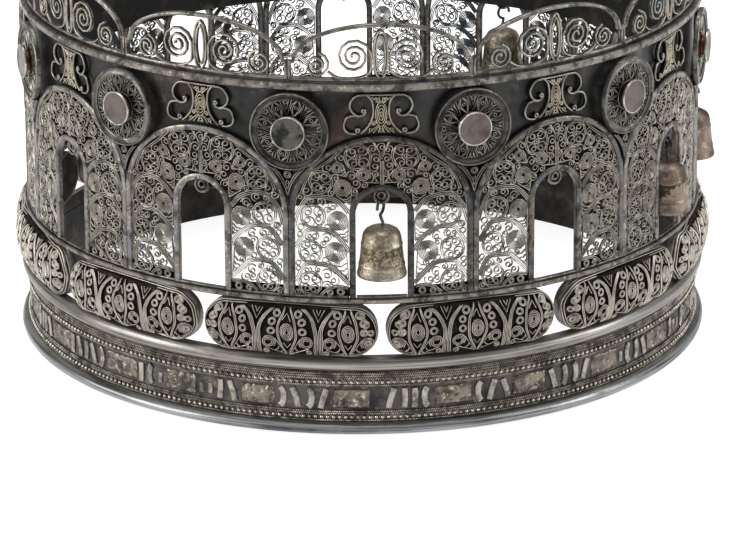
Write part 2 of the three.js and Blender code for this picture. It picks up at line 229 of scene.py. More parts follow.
def old_silver(name, deep, body, bright, roughness, cloud_size=150, cloud=(0.36, 0.62), tint=None,
               grain_size=900, grain=0.3, reach=None, twists=None, drawn=False):
    """Tarnished silver: deep in the clouds, body between them, and bright along drawn streaks where drawn is
    set, as a painted highlight on the raised front where reach is set, and in larger patches otherwise. The
    colours are in thousandths."""
    material = bpy.data.materials.new(name)
    material.use_nodes = True
    tree = material.node_tree
    shader = tree.nodes["Principled BSDF"]
    shader.inputs["Metallic"].default_value = 0.9

    def pattern(group, **values):
        return shader_node(tree, "Group", values, node_tree=group).outputs[0]

    def blend(factor, first, second):
        ends = [(*(part / 1000 for part in colour), 1) if isinstance(colour, tuple) else colour
                for colour in (first, second)]
        mixed = shader_node(tree, "Mix", {"Factor": factor, 6: ends[0], 7: ends[1]}, data_type="RGBA")
        return mixed.outputs[2]

    clouds = pattern(CLOUDS, Size=cloud_size, Low=cloud[0], High=cloud[1])
    colour = blend(clouds, deep, body)
    if tint is not None:
        colour = blend(pattern(CLOUDS, Size=cloud_size * 0.45, Low=0.5, High=0.66), colour, tint)
    if drawn:
        bright_mask = pattern(DRAWN)
    # where reach is given, the front of raised pieces is painted bright as a highlight and their back dark
    # as shade
    elif reach is not None:
        bright_mask = pattern(RIDGE_HIGHLIGHT, Reach=reach)
    else:
        bright_mask = pattern(CLOUDS, Size=cloud_size * 2.7, Low=0.52, High=0.74)
    colour = blend(bright_mask, colour, bright)
    fine = pattern(GRAIN, Size=grain_size)
    bump = shader_node(tree, "Bump", {"Strength": grain, "Distance": 0.0002, "Height": fine})
    if twists is not None:
        twist = pattern(TWIST, Twists=twists)
        # the twist's grooves are painted darker than the deep tarnish, as painted shade and tarnish in the
        # grooves
        groove = shader_node(tree, "MapRange", {"Value": twist, "From Min": 0.2, "From Max": -0.9})
        colour = blend(groove.outputs["Result"], colour, tuple(part * 0.35 for part in deep))
        bump = shader_node(tree, "Bump", {"Strength": 0.5, "Distance": 0.0003, "Height": twist,
                                          "Normal": bump.outputs["Normal"]})
    gloss = shader_node(tree, "MapRange", {"Value": clouds, "To Min": roughness + 0.16, "To Max": roughness})
    for socket, value in (("Base Color", colour), ("Roughness", gloss.outputs["Result"]),
                          ("Normal", bump.outputs["Normal"])):
        tree.links.new(value, shader.inputs[socket])
    return material


def finished(bm, name, material, sharp=None):
    """The worked metal as a smooth mesh, with folds over the sharp angle kept crisp."""
    bmesh.ops.recalc_face_normals(bm, faces=bm.faces)
    mesh = bpy.data.meshes.new(name)
    bm.to_mesh(mesh)
    bm.free()
    mesh.shade_smooth()
    if sharp is not None:
        mesh.set_sharp_from_angle(angle=math.radians(sharp))
    mesh.materials.append(material)
    return mesh


def spun(name, places, material, steps, sharp=None, closed=False):
    """A row of corners spun all the way round the upright axis, with its poles merged."""
    bm = bmesh.new()
    corners = [bm.verts.new(place) for place in places]
    nexts = corners[1:] + corners[:1] if closed else corners[1:]
    edges = [bm.edges.new(pair) for pair in zip(corners, nexts)]
    bmesh.ops.spin(bm, geom=corners + edges, cent=(0, 0, 0), axis=(0, 0, 1), dvec=(0, 0, 0),
                   angle=2 * math.pi, steps=steps, use_merge=True, use_duplicate=False)
    if not closed:
        bmesh.ops.remove_doubles(bm, verts=bm.verts, dist=0.000001)
    return finished(bm, name, material, sharp)


def placed(name, mesh):
    made = bpy.data.objects.new(name, mesh)
    bpy.context.collection.objects.link(made)
    return made


def turned_ring(name, profile, material):
    """A closed profile of (radius, height) points turned round the crown's axis."""
    places = [(0, -radius * MM, height * MM) for radius, height in profile]
    return placed(name, spun(name, places, material, RING_STEPS, RING_FOLD, closed=True))


def joined(name, pieces):
    """Several made pieces soldered into one."""
    with bpy.context.temp_override(active_object=pieces[0], object=pieces[0],
                                   selected_objects=pieces, selected_editable_objects=pieces):
        bpy.ops.object.join()
    pieces[0].name = name
    pieces[0].data.name = name
    return pieces[0]


def fitted(piece, solid):
    """The piece rides on the crown and stands for its solid, which is hidden."""
    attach(piece, "root")
    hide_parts(solid)


def bead_row(name, height):
    """Round beads soldered side by side all the way round the band."""
    bm = bmesh.new()
    bmesh.ops.create_icosphere(bm, subdivisions=1, radius=BEAD_RADIUS * MM,
                               matrix=Matrix.Translation((0, -BEAD_LINE * MM, height * MM)))
    bmesh.ops.spin(bm, geom=bm.verts[:] + bm.edges[:] + bm.faces[:], cent=(0, 0, 0), axis=(0, 0, 1),
                   dvec=(0, 0, 0), angle=2 * math.pi * (1 - 1 / BEADS), steps=BEADS - 1, use_duplicate=True)
    return placed(name, finished(bm, name, BEADING))


def round_wire(name, radius, height, thick):
    """A twisted wire laid round the band."""
    turns = [step * 2 * math.pi / WIRE_SIDES for step in range(WIRE_SIDES)]
    return turned_ring(name, [(radius + thick * math.cos(turn), height + thick * math.sin(turn))
                              for turn in turns], ROPE)


FOOT_SILVER = old_silver("foot_silver", (50, 51, 52), (190, 190, 187), (380, 380, 375), 0.36, cloud_size=45,
                         tint=(130, 145, 150), grain=0.15, drawn=True)
FIELD = old_silver("field_patina", (32, 32, 33), (90, 85, 80), (200, 175, 140), 0.4, cloud_size=110,
                   grain=0.4)
BEADING = old_silver("bead_silver", (100, 80, 60), (550, 500, 430), (850, 800, 700), 0.25, cloud_size=260,
                     cloud=(0.30, 0.55))
ROPE = old_silver("rope_silver", (100, 88, 73), (450, 405, 335), (680, 620, 530), 0.33, cloud_size=220,
                  grain=0.25, twists=978)
LINING = old_silver("lining_sheet", (12, 11, 10), (36, 33, 31), (70, 62, 54), 0.5, cloud_size=50,
                    grain=0.25)
LINING_OUTER = 99.35
SHEET_INSIDE = 99.3
STRIP_SHEET = old_silver("strip_sheet", (60, 52, 44), (200, 178, 148), (340, 310, 260), 0.42,
                         cloud_size=120, grain=0.4)

base_pieces = [
    turned_ring("lining", [
        (BAND_INNER, 0.05), (LINING_OUTER, 0.05), (LINING_OUTER, 18.65), (BAND_INNER, 18.65)], LINING),
    turned_ring("foot", [
        (SHEET_INSIDE, 0), (101.9, 0), (102.6, 0.25), (103.15, 0.9), (FOOT_RADIUS, 1.5), (103.1, 2.2),
        (102.6, 2.8), (102.0, 3.1), (101.5, 3.2), (100.9, 3.3), (FIELD_RADIUS - 0.35, 3.4),
        (SHEET_INSIDE, 3.4)], FOOT_SILVER),
    turned_ring("strips", [
        (SHEET_INSIDE, 3.4), (100.55, 3.4), (100.6, 3.6), (100.6, 6.3), (FIELD_RADIUS - 0.1, FIELD_LOW),
        (FIELD_RADIUS - 0.1, FIELD_HIGH), (100.6, 14.3), (100.6, 18.3), (100.2, BAND_TOP),
        (SHEET_INSIDE, BAND_TOP)], STRIP_SHEET),
    turned_ring("field", [
        (FIELD_RADIUS - 0.2, FIELD_LOW), (FIELD_RADIUS, FIELD_LOW), (FIELD_RADIUS, FIELD_HIGH),
        (FIELD_RADIUS - 0.2, FIELD_HIGH)], FIELD),
    round_wire("low_stipple", 100.75, 3.75, 0.36),
    bead_row("low_beads", LOWER_BEADS),
    round_wire("low_rope_a", 100.7, 5.75, 0.33),
    round_wire("low_rope_b", 100.65, 6.35, 0.3),
    round_wire("high_rope", 100.65, 14.35, 0.36),
    bead_row("high_beads", UPPER_BEADS),
    round_wire("high_stipple_a", 100.7, 16.4, 0.36),
    round_wire("high_stipple_b", 100.65, 17.1, 0.36),
    round_wire("high_stipple_c", 100.6, 17.8, 0.36),
]

# The rows of strokes
# Raised strokes of thin sheet, plain and apart from each other, fill the field in groups,
# and small mottled plaques of cast relief stand between the groups.
FACE = 101.0
STROKE_HALF = 2.9
PLAQUE_ACROSS = 34
PLAQUE_UP = 16
STROKE_SILVER = old_silver("stroke_silver", (140, 125, 110), (400, 360, 315), (580, 530, 470), 0.33,
                           cloud_size=240, grain=0.45)
PLAQUE_SILVER = old_silver("plaque_silver", (60, 53, 45), (220, 190, 150), (580, 530, 440), 0.31,
                           cloud_size=260, grain=0.6)

hand = random.Random(7)


def arc(x, y, radius, start, end, tall=None):
    """Points on part of a circle, in degrees, or of an oval where a height is given."""
    tall = radius if tall is None else tall
    turning = abs(end - start)
    count = max(3, math.ceil(turning / 30), math.ceil(math.radians(turning) * max(radius, tall) / 1.6))
    turns = [math.radians(start + (end - start) * step / count) for step in range(count + 1)]
    return [(x + radius * math.cos(turn), y + tall * math.sin(turn)) for turn in turns]


def mesh_of(curve, material):
    """The metal of a bevelled curve as a mesh."""
    holder = placed("wire", curve)
    bpy.context.view_layer.update()
    mesh = bpy.data.meshes.new_from_object(holder.evaluated_get(bpy.context.evaluated_depsgraph_get()))
    bpy.data.objects.remove(holder)
    mesh.materials.clear()
    mesh.materials.append(material)
    return mesh


def points_of(mesh):
    """The mesh's points as three rows: along, up and out."""
    place = np.empty(len(mesh.vertices) * 3, np.float32)
    mesh.vertices.foreach_get("co", place)
    return place.reshape(-1, 3).T.copy()


def copy_at(mesh, x, y, z):
    """A copy of a made piece with its points at these places, given in mm."""
    copy = mesh.copy()
    copy.vertices.foreach_set("co", (np.column_stack([x, y, z]) * MM).astype(np.float32).ravel())
    copy.update()
    return copy


def swept(lines, outline, material):
    """Flat lines made into metal of one section, with front 1 at the face and 0 at the back."""
    section = bpy.data.curves.new("section", "CURVE")
    section.dimensions = "2D"
    edge = section.splines.new("POLY")
    edge.points.add(len(outline) - 1)
    edge.use_cyclic_u = True
    for point, (across, out) in zip(edge.points, outline):
        point.co = (across, out, 0, 1)
    section_object = placed("section", section)
    curve = bpy.data.curves.new("wires", "CURVE")
    curve.dimensions = "3D"
    curve.twist_mode = "Z_UP"
    curve.bevel_mode = "OBJECT"
    curve.bevel_object = section_object
    curve.use_fill_caps = True
    for line in lines:
        closed = math.dist(line[0], line[-1]) < 1e-6
        points = line[:-1] if closed else line
        spline = curve.splines.new("POLY")
        spline.points.add(len(points) - 1)
        spline.points.foreach_set("co", [part for x, y in points for part in (x, y, 0, 1)])
        spline.use_cyclic_u = closed
    mesh = mesh_of(curve, material)
    bpy.data.objects.remove(section_object)
    outs = points_of(mesh)[2]
    front = mesh.attributes.new("front", "FLOAT", "POINT")
    front.data.foreach_set("value", (outs - outs.min()) / max(outs.max() - outs.min(), 1e-6))
    return mesh


def wire_section(width, depth):
    half = width / 2
    return [(-half, -depth / 2), (half, -depth / 2), (half * 0.6, depth / 2), (-half * 0.6, depth / 2)]


def strip_section(width, depth, ease=0.18):
    half = width / 2
    face = depth / 2
    return [(-half, -face), (half, -face), (half, face - ease), (half - ease, face), (-half + ease, face),
            (-half, face - ease)]


def bent_copy(mesh, radius_of, turn, wobble=0.0, level=0.0):
    """A flat made piece, (along, up, out) in mm, bent round the drum and turned to its bay."""
    along, up, out = points_of(mesh)
    if wobble:
        seed = hand.uniform(0, 6.28)
        along = along + wobble * (np.sin(up * 0.9 + seed) + 0.6 * np.sin(along * 1.3 + seed * 2))
        up = up + wobble * (np.sin(along * 0.8 + seed * 3) + 0.5 * np.sin(up * 1.1 + seed))
    radius = radius_of(along, up, out) if callable(radius_of) else radius_of + out
    angle = along / FACE + math.radians(turn)
    return placed("bent", copy_at(mesh, radius * np.sin(angle), -radius * np.cos(angle), up + level))


def give_back(bm, depth):
    """A worked sheet made solid, with its flat back at the depth."""
    for part in bmesh.ops.extrude_face_region(bm, geom=bm.faces[:])["geom"]:
        if isinstance(part, bmesh.types.BMVert):
            part.co.z = depth


STROKE_CELLS = {"upright": 2.5, "leaning": 3.9, "falling": 3.9, "bowed": 3.3, "stub": 2.6}


def field_stroke(kind, x):
    """One plain stroke about the middle x, about as tall as the field and apart from the next."""
    low, high = 7.3 + hand.uniform(0, 0.4), 13.3 - hand.uniform(0, 0.4)
    if kind == "upright":
        return [(x - 0.1, low), (x + 0.1, (low + high) / 2), (x, high)]
    if kind == "leaning":
        return [(x - 0.85, low), (x - 0.1, (low + high) / 2), (x + 0.85, high)]
    if kind == "falling":
        return [(x + 0.85, low), (x + 0.2, (low + high) / 2), (x - 0.85, high)]
    if kind == "bowed":
        way = hand.choice((-1, 1))
        return [(x + way * (1.3 * math.cos(turn) - 0.8), FIELD_MIDDLE + STROKE_HALF * math.sin(turn))
                for turn in map(math.radians, range(-75, 76, 25))]
    return [(x, low + 1.0), (x + 0.1, low + 4.0)]


stroke_lines = []
thin_lines = []
plaque_places = []
round_length = 2 * math.pi * FACE
along = 0.6
while along < round_length - 15:
    for count in range(hand.choice((3, 4, 4, 5))):
        kind = hand.choice(("upright", "leaning", "falling", "bowed", "bowed", "stub"))
        cell = STROKE_CELLS[kind]
        lines = thin_lines if kind == "stub" else stroke_lines
        lines.append(field_stroke(kind, along + cell / 2))
        along += cell + hand.uniform(0.2, 0.7)
    if along < round_length - 13:
        width = hand.uniform(8.5, 12.5)
        plaque_places.append((along + width / 2 + 0.3, width))
        along += width + 0.9
wide_strokes = swept(stroke_lines, strip_section(1.75, 0.75, 0.15), STROKE_SILVER)
thin_strokes = swept(thin_lines, strip_section(1.3, 0.5, 0.12), STROKE_SILVER)
base_pieces.append(bent_copy(wide_strokes, FIELD_RADIUS + 0.15, 0))
base_pieces.append(bent_copy(thin_strokes, FIELD_RADIUS + 0.1, 0))

for index, (middle, width) in enumerate(plaque_places):
    bm = bmesh.new()
    bmesh.ops.create_grid(bm, x_segments=PLAQUE_ACROSS, y_segments=PLAQUE_UP, size=1)
    for corner in bm.verts:
        rim = max(abs(corner.co.x), abs(corner.co.y)) > 0.99
        x, y = middle + corner.co.x * width / 2, FIELD_MIDDLE + corner.co.y * STROKE_HALF
        lumps = noise.fractal(Vector((x * 0.9, y * 0.9, index)), 1.0, 2.0, 3)
        corner.co = (x, y, 0.02 if rim else 0.3 + 0.42 * lumps)
    give_back(bm, -0.2)
    plaque = finished(bm, "plaque", PLAQUE_SILVER)
    base_pieces.append(bent_copy(plaque, FIELD_RADIUS, 0))
base_band = joined("base_band_beaded", base_pieces)
fitted(base_band, "base_band")


# Shoulder rim
# A stout half round moulding of drawn silver above the band, rubbed bright by handling.
RIM_FOOT = 19.0
RIM_TOP = 23.0
RIM_OUTER = 102.85
RIM_SEAT = 100.9
RIM_SILVER = old_silver("rim_silver", (45, 42, 38), (190, 178, 162), (400, 375, 340), 0.35, cloud_size=38,
                        tint=(140, 150, 155), grain=0.12, drawn=True)
rim_middle = (RIM_FOOT + RIM_TOP) / 2
rim_half = (RIM_TOP - RIM_FOOT) / 2
rim_profile = [(SHEET_INSIDE, RIM_FOOT), (RIM_SEAT, RIM_FOOT)]
for step in range(1, 12):
    angle = math.radians(-90 + step * 15)
    rim_profile.append((RIM_SEAT + (RIM_OUTER - RIM_SEAT) * math.cos(angle),
                        rim_middle + rim_half * math.sin(angle)))
rim_profile += [(RIM_SEAT, RIM_TOP), (SHEET_INSIDE, RIM_TOP)]
rim_lining = turned_ring("rim_lining", [
    (BAND_INNER, RIM_FOOT + 0.02), (LINING_OUTER, RIM_FOOT + 0.02), (LINING_OUTER, RIM_TOP - 0.02),
    (BAND_INNER, RIM_TOP - 0.02)], LINING)
shoulder_rim = joined("shoulder_rim_moulding", [turned_ring("rim", rim_profile, RIM_SILVER), rim_lining])
fitted(shoulder_rim, "shoulder_rim")


# Oval cartouches
# Twelve domed cushions of filigree: a raised dark back, a flat strip round its edge, and
# spirals, vesicas and small rings of flattened wire soldered on top in three divisions.
OVAL_MIDDLE = 31.05
OVAL_HALF = 7.75
OVAL_STRAIGHT = 17.65
OVAL_EDGE = 101.2
OVAL_BULGE = 3.55
OVAL_WIRE_WIDTH = 0.23
WIRE_SHAKE = 0.1
OVAL_DIVISIONS = (-16.9, 0, 16.9)
OVAL_PINCH = 8.7
OVAL_BACK_HALF = OVAL_HALF - 0.55
OVAL_BACK_INNER = 98.4
OVAL_STRIP_RADIUS = 99.75


def ring(x, y, radius, tall=None):
    line = arc(x, y, radius, 0, 360, tall)
    line[-1] = line[0]
    return line


def spiral(x, y, radius, turns, start, way, eye):
    """A wire wound inwards to its eye."""
    count = max(5, round(turns * 11))
    line = []
    for step in range(count + 1):
        share = step / count
        reach = radius + (eye - radius) * share
        angle = math.radians(start + way * 360 * turns * share)
        line.append((x + reach * math.cos(angle), y + reach * math.sin(angle)))
    return line


def crescent(x, y, radius, start, way=1, eye=0.62):
    """An open curl: one wide turn that closes into a small ring set to one side."""
    outer = arc(x, y, radius, start, start + way * 230)
    lean = math.radians(start + way * 250)
    shift = radius - eye - 0.12
    small = arc(x + shift * math.cos(lean), y + shift * math.sin(lean), eye, start + way * 250,
                start + way * 600)
    return outer + small


def bead_ring(x, y, radius=1.05):
    """A small ring of two turns with a black hole in its middle."""
    return [ring(x, y, radius - 0.15), ring(x, y, radius - 0.5)]


def smooth_line(points, parts=4):
    """A soft curve through the given points."""
    ends = [points[0], *points, points[-1]]
    line = []
    for before, start, end, after in zip(ends, ends[1:], ends[2:], ends[3:]):
        for step in range(parts):
            t = step / parts
            line.append(tuple(
                0.5 * (2 * s + (e - b) * t + (2 * b - 5 * s + 4 * e - a) * t * t
                       + (3 * s - b - 3 * e + a) * t ** 3)
                for b, s, e, a in zip(before, start, end, after)))
    return line + [points[-1]]


def beside(line, offset):
    """The same line moved sideways, as a second strand lies by the first."""
    moved = []
    for index, (x, y) in enumerate(line):
        ax, ay = line[max(index - 1, 0)]
        bx, by = line[min(index + 1, len(line) - 1)]
        length = math.hypot(bx - ax, by - ay) or 1
        moved.append((x - (by - ay) / length * offset, y + (bx - ax) / length * offset))
    return moved


def mirrored(lines):
    return [[(-x, y) for x, y in line] for line in lines]


def shifted(lines, x):
    return [[(x + px, y) for px, y in line] for line in lines]


def coil(x, y, radius, tip_x, tip_y, gap=0.44, eye=0.5, nested=3):
    """A close wound disc of wire in a drop whose outer wires run out to a tip, and small
    crescents that bridge the drop between the disc and the tip."""
    toward = math.atan2(tip_y - y, tip_x - x)
    lines = [spiral(x, y, radius, (radius - eye) / gap, math.degrees(toward), 1, eye)]
    reach = math.hypot(tip_x - x, tip_y - y)
    widest = math.acos(min(radius / reach, 0.96))

    def around(distance, turn):
        return (x + distance * math.cos(toward + turn), y + distance * math.sin(toward + turn))

    for flank in (-1, 1):
        lines.append([around(radius, flank * widest), around(reach, 0)])
    for layer in range(1, nested + 1):
        far = radius + (reach - radius) * layer / (nested + 1)
        spread = widest - math.acos(radius / far)
        lines.append([around(far, spread), around(far * 0.99, spread * 0.5), around(far * 1.05, 0),
                      around(far * 0.99, -spread * 0.5), around(far, -spread)])
    return lines


def oval_dome(along, up):
    """Radius of the domed face over a cartouche whose middle is at up = 0."""
    past = np.maximum(np.abs(along) - OVAL_STRAIGHT, 0)
    away = np.minimum(np.hypot(past, up) / OVAL_HALF, 1)
    return OVAL_EDGE + OVAL_BULGE * np.sqrt(1 - away ** 2)


def oval_outline(inset):
    end = OVAL_HALF - inset
    right = arc(OVAL_STRAIGHT, 0, end, -90, 90)
    left = arc(-OVAL_STRAIGHT, 0, end, 90, 270)
    return right + left + [right[0]]


def in_oval(along, up):
    return math.hypot(max(abs(along) - OVAL_STRAIGHT, 0), up) < OVAL_HALF - 0.2


OVAL_WIRE = old_silver("oval_silver", (45, 38, 30), (175, 156, 128), (560, 510, 440), 0.33, reach=0.8,
                       grain=0.35)
OVAL_BACK = old_silver("oval_back", (8, 7, 6), (17, 14, 12), (50, 30, 22), 0.5, cloud_size=130, grain=0.4)
EDGE_STRIP = old_silver("edge_silver", (50, 45, 40), (150, 140, 125), (360, 340, 310), 0.34, cloud_size=70,
                        reach=0.9)

side_flank = coil(-5.3, -3.0, 2.0, -0.5, -7.1, gap=0.5, eye=0.75, nested=2)
side_flank += bead_ring(-4.4, 0.4, 1.2) + bead_ring(-4.2, 3.1, 1.15) + bead_ring(-3.0, 5.4, 1.2)
side_flank += bead_ring(-6.0, -6.2, 0.9)
division = side_flank + mirrored(side_flank)
for wide, tall in ((2.75, 7.2), (2.35, 6.6)):
    bow = [(-0.25, -tall), (-wide * 0.55, -tall * 0.62), (-wide * 0.93, -tall * 0.25), (-wide, 0.4),
           (-wide * 0.86, tall * 0.42), (-wide * 0.5, tall * 0.74), (-0.7, tall)]
    division += [smooth_line(bow, 3), smooth_line([(-x, y) for x, y in bow], 3)]
division += [ring(0, 0.2, 1.75, 2.5), ring(0, 0.2, 1.32, 2.0), ring(0, 0.2, 0.9, 1.45),
             ring(0, 0.2, 0.5, 0.85)]
division += [[(-1.0, -3.2), (0.0, -4.6), (1.0, -3.2)], [(-1.3, 3.6), (-0.1, 5.6), (0.9, 3.4)]]
oval_lines = [oval_outline(0.25), oval_outline(0.7)]
for middle in OVAL_DIVISIONS:
    oval_lines += shifted(division, middle)
for pinch in (-OVAL_PINCH, OVAL_PINCH):
    for bow in (-1, 1):
        for strand in (0.2, 0.62, 1.04):
            flare = [(0.2, -7.0), (0.05, -4.4), (0.0, -1.8), (0.1, 0.8), (0.9, 3.4), (2.2, 5.3), (3.8, 6.7)]
            oval_lines.append(smooth_line([(pinch + bow * (strand + x), y) for x, y in flare], 2))
    oval_lines.append([(pinch - 1.6, 6.8), (pinch, 3.6), (pinch + 1.6, 6.8)])
    oval_lines.append([(pinch - 0.6, 6.8), (pinch, 5.4), (pinch + 0.6, 6.8)])
for end in (-1, 1):
    for x, y, size in ((21.9, 2.6, 1.1), (23.2, 0.2, 1.0), (20.9, 0.4, 0.8), (20.6, 5.0, 1.0),
                       (22.4, -3.0, 0.9)):
        oval_lines += bead_ring(end * x, y, size)
oval_lines = [line for line in oval_lines if all(in_oval(x, y) for x, y in line)]
oval_wires = swept(oval_lines, wire_section(OVAL_WIRE_WIDTH, 0.6), OVAL_WIRE)
oval_strip = swept([oval_outline(0.3)], strip_section(0.6, 2.9), EDGE_STRIP)

bm = bmesh.new()
bmesh.ops.create_grid(bm, x_segments=44, y_segments=12, size=1)
for corner in bm.verts:
    along = (OVAL_STRAIGHT + OVAL_BACK_HALF) * math.sin(corner.co.x * math.pi / 2)
    past = max(abs(along) - OVAL_STRAIGHT, 0)
    half = math.sqrt(max(OVAL_BACK_HALF ** 2 - past ** 2, 0))
    corner.co = (along, math.sin(corner.co.y * math.pi / 2) * half, 0)
bmesh.ops.remove_doubles(bm, verts=bm.verts, dist=0.01)
give_back(bm, -1)
oval_sheet = finished(bm, "oval_sheet", OVAL_BACK)

for bay in range(BAYS):
    turn = (bay + 0.5) * BAY_ANGLE
    node = f"oval_cartouche_{bay + 1:02d}"
    oval = joined(node + "_wirework", [
        bent_copy(oval_wires, lambda a, u, o: oval_dome(a, u) - 0.32 + o, turn, WIRE_SHAKE, OVAL_MIDDLE),
        bent_copy(oval_strip, OVAL_STRIP_RADIUS, turn, 0, OVAL_MIDDLE),
        bent_copy(oval_sheet, lambda a, u, o: np.where(o < -0.5, OVAL_BACK_INNER, oval_dome(a, u) - 0.85),
                  turn, 0, OVAL_MIDDLE),
    ])
    fitted(oval, node)


# Arcade rail
# A flat drawn wire that runs round on top of the ovals and carries the arch panels.
RAIL_FOOT = 39.1
RAIL_TOP = 40.5
FRAME_GRIME = {"cloud_size": 260, "cloud": (0.36, 0.6)}
FRAME = old_silver("frame_silver", (55, 50, 44), (215, 196, 172), (420, 385, 340), 0.33, **FRAME_GRIME)
# Lit and shaded copies of the arch frames' silver: the darkest is painted shade for the front arch, the
# lightest painted light for the side arches.
SHADED_ARCH_SILVER = old_silver("front_arch_painted_shade", (24, 21, 19), (80, 73, 65), (200, 185, 165), 0.28, **FRAME_GRIME,
                         tint=(75, 85, 95))
SIDELIT_ARCH_SILVER = old_silver("side_arch_painted_light", (55, 50, 45), (215, 195, 172), (430, 395, 350), 0.33,
                       **FRAME_GRIME, tint=(155, 162, 168))
HALF_LIT_ARCH_SILVER = old_silver("right_arch_painted_half_shade", (35, 30, 26), (140, 124, 107), (320, 280, 240), 0.33,
                         **FRAME_GRIME, tint=(100, 110, 120))
WINDOW_SILVER = old_silver("window_silver", (20, 18.5, 17.5), (58, 54, 50), (140, 130, 118), 0.3,
                           **FRAME_GRIME, tint=(50, 55, 62))
arcade_rail = turned_ring("arcade_rail_wire", [
    (99.5, RAIL_FOOT), (101.2, RAIL_FOOT), (101.45, RAIL_FOOT + 0.25), (101.45, RAIL_TOP - 0.25),
    (101.2, RAIL_TOP), (99.5, RAIL_TOP)], FRAME)
fitted(arcade_rail, "arcade_rail")


# Arch panels
# Twelve panels of filigree, each framed by a flat strip that runs up one pillar, over the
# arch and down the next, with a framed round headed window and a loop that hangs in it.
PANEL_FOOT = 40.8
PANEL_TOP = 88.75
SPRINGING = 64.8
PANEL_HALF = 26.42
ARCH_BAND = 1.65
WINDOW_HALF = 7.4
WINDOW_FRAME = 1.75
WINDOW_SPRING = 65.7
WINDOW_RISE = 7.0
PANEL_RADIUS = 100.2
FILIGREE_LOW = 41.3
FRAME_DEPTH = 1.5
STRANDS_APART = 0.5
FOOT_BACK_RADIUS = 99.52
LOOP_RADIUS = 99.85
NO_LOOP = (9,)
# the front arch and its window frame are painted darkest, as painted shade, its right neighbour less so, and
# the other arches lighter, as painted light
SHADED_ARCH_BAY = 0
HALF_SHADED_ARCH_BAY = 1

FILIGREE = old_silver("filigree_silver", (30, 24, 20), (100, 85, 68), (400, 365, 305), 0.31, cloud_size=110,
                      cloud=(0.38, 0.62), tint=(60, 78, 85), reach=1.05, grain=0.35)


def arch_line(inset, foot):
    half = PANEL_HALF - inset
    head = arc(0, SPRINGING, half, 0, 180, PANEL_TOP - SPRINGING - inset)
    return [(half, foot), (half, SPRINGING - 8), *head, (-half, SPRINGING - 8), (-half, foot)]


def window_line(outset, foot):
    half = WINDOW_HALF + outset
    head = arc(0, WINDOW_SPRING, half, 0, 180, WINDOW_RISE + outset)
    return [(half, foot), *head, (-half, foot)]


def in_panel(along, up):
    half = PANEL_HALF - ARCH_BAND - 0.2
    high = PANEL_TOP - SPRINGING - ARCH_BAND - 0.2
    under_arch = np.where(up < SPRINGING, np.abs(along) < half,
                          (along / half) ** 2 + ((up - SPRINGING) / high) ** 2 < 1)
    wide = WINDOW_HALF + WINDOW_FRAME + 0.2
    tall = WINDOW_RISE + WINDOW_FRAME + 0.2
    in_window = np.where(up < WINDOW_SPRING, np.abs(along) < wide,
                         (along / wide) ** 2 + ((up - WINDOW_SPRING) / tall) ** 2 < 1)
    return under_arch & ~in_window & (up > FILIGREE_LOW)


def dots(lines, gap=0.35):
    """The lines as close points, to measure how far a free place is from a wire."""
    found = []
    for line in lines:
        for (ax, ay), (bx, by) in zip(line, line[1:]):
            count = max(1, math.ceil(math.hypot(bx - ax, by - ay) / gap))
            for step in range(count):
                found.append((ax + (bx - ax) * step / count, ay + (by - ay) * step / count))
        found.append(line[-1])
    return np.array(found)


def fill_with_curls(lines, inside, box, least, most, grid=0.3):
    """Open curls in the larger free places, each touching the wire beside it."""
    xs, ys = np.meshgrid(np.arange(box[0], box[1], grid), np.arange(box[2], box[3], grid))
    places = np.column_stack([xs.ravel(), ys.ravel()])
    places = places[inside(places[:, 0], places[:, 1])]
    wires = dots(lines)
    free = np.full(len(places), 99.0)
    for start in range(0, len(wires), 400):
        part = wires[start:start + 400]
        gaps = np.hypot(places[:, None, 0] - part[None, :, 0], places[:, None, 1] - part[None, :, 1])
        free = np.minimum(free, gaps.min(axis=1))
    curls = []
    while True:
        best = int(np.argmax(np.where(free < most + grid, free, 0)))
        if free[best] < least:
            break
        x, y = places[best]
        size = min(free[best], most)
        near = wires[np.argmin(np.hypot(wires[:, 0] - x, wires[:, 1] - y))]
        start = math.degrees(math.atan2(near[1] - y, near[0] - x))
        curls.append(crescent(x, y, size - 0.05, start, hand.choice((-1, 1)), max(0.42, size * 0.5)))
        gaps = np.hypot(places[:, 0] - x, places[:, 1] - y) - size
        free = np.where(gaps < 0.05, 0, np.minimum(free, np.abs(gaps)))
    return curls


def curl_cluster(x, y, radius, curls):
    """A doubled round collar with open curls packed in it, given as (x, y, size, start, way)."""
    lines = [ring(x, y, radius), ring(x, y, radius - 0.5)]
    for cx, cy, size, start, way in curls:
        lines.append(crescent(cx, cy, size, start, way, size * 0.5))
    return lines


def strands(points, count=3):
    """Wires that run side by side through the given points."""
    middle = smooth_line(points, 3)
    return [beside(middle, STRANDS_APART * (index - (count - 1) / 2)) for index in range(count)]


arch_frame = swept([arch_line(ARCH_BAND / 2, PANEL_FOOT + 0.05)], strip_section(ARCH_BAND, FRAME_DEPTH),
                   SHADED_ARCH_SILVER)
window_frame = swept([window_line(WINDOW_FRAME / 2, PANEL_FOOT + 0.05)],
                     strip_section(WINDOW_FRAME, FRAME_DEPTH), WINDOW_SILVER)
sill_lines = [[(end * x, PANEL_FOOT + 0.3) for x in (9.3, 15, 20, 25.6)] for end in (-1, 1)]
sill_lines.append([(x, PANEL_FOOT + 0.3) for x in (-7.2, -2.4, 2.4, 7.2)])
sill_strip = swept(sill_lines, strip_section(0.5, 1.3, 0.12), FRAME)

# A thin near-black strip stands behind the wires at each pillar's foot, but not in the windows.
FOOT_BACK_LEVEL = 42.3
foot_backs = [[(end * x, FOOT_BACK_LEVEL) for x in (9.0, 14, 20, 26.2)] for end in (-1, 1)]
foot_back = swept(foot_backs, strip_section(2.7, 0.2, 0.05), OVAL_BACK)

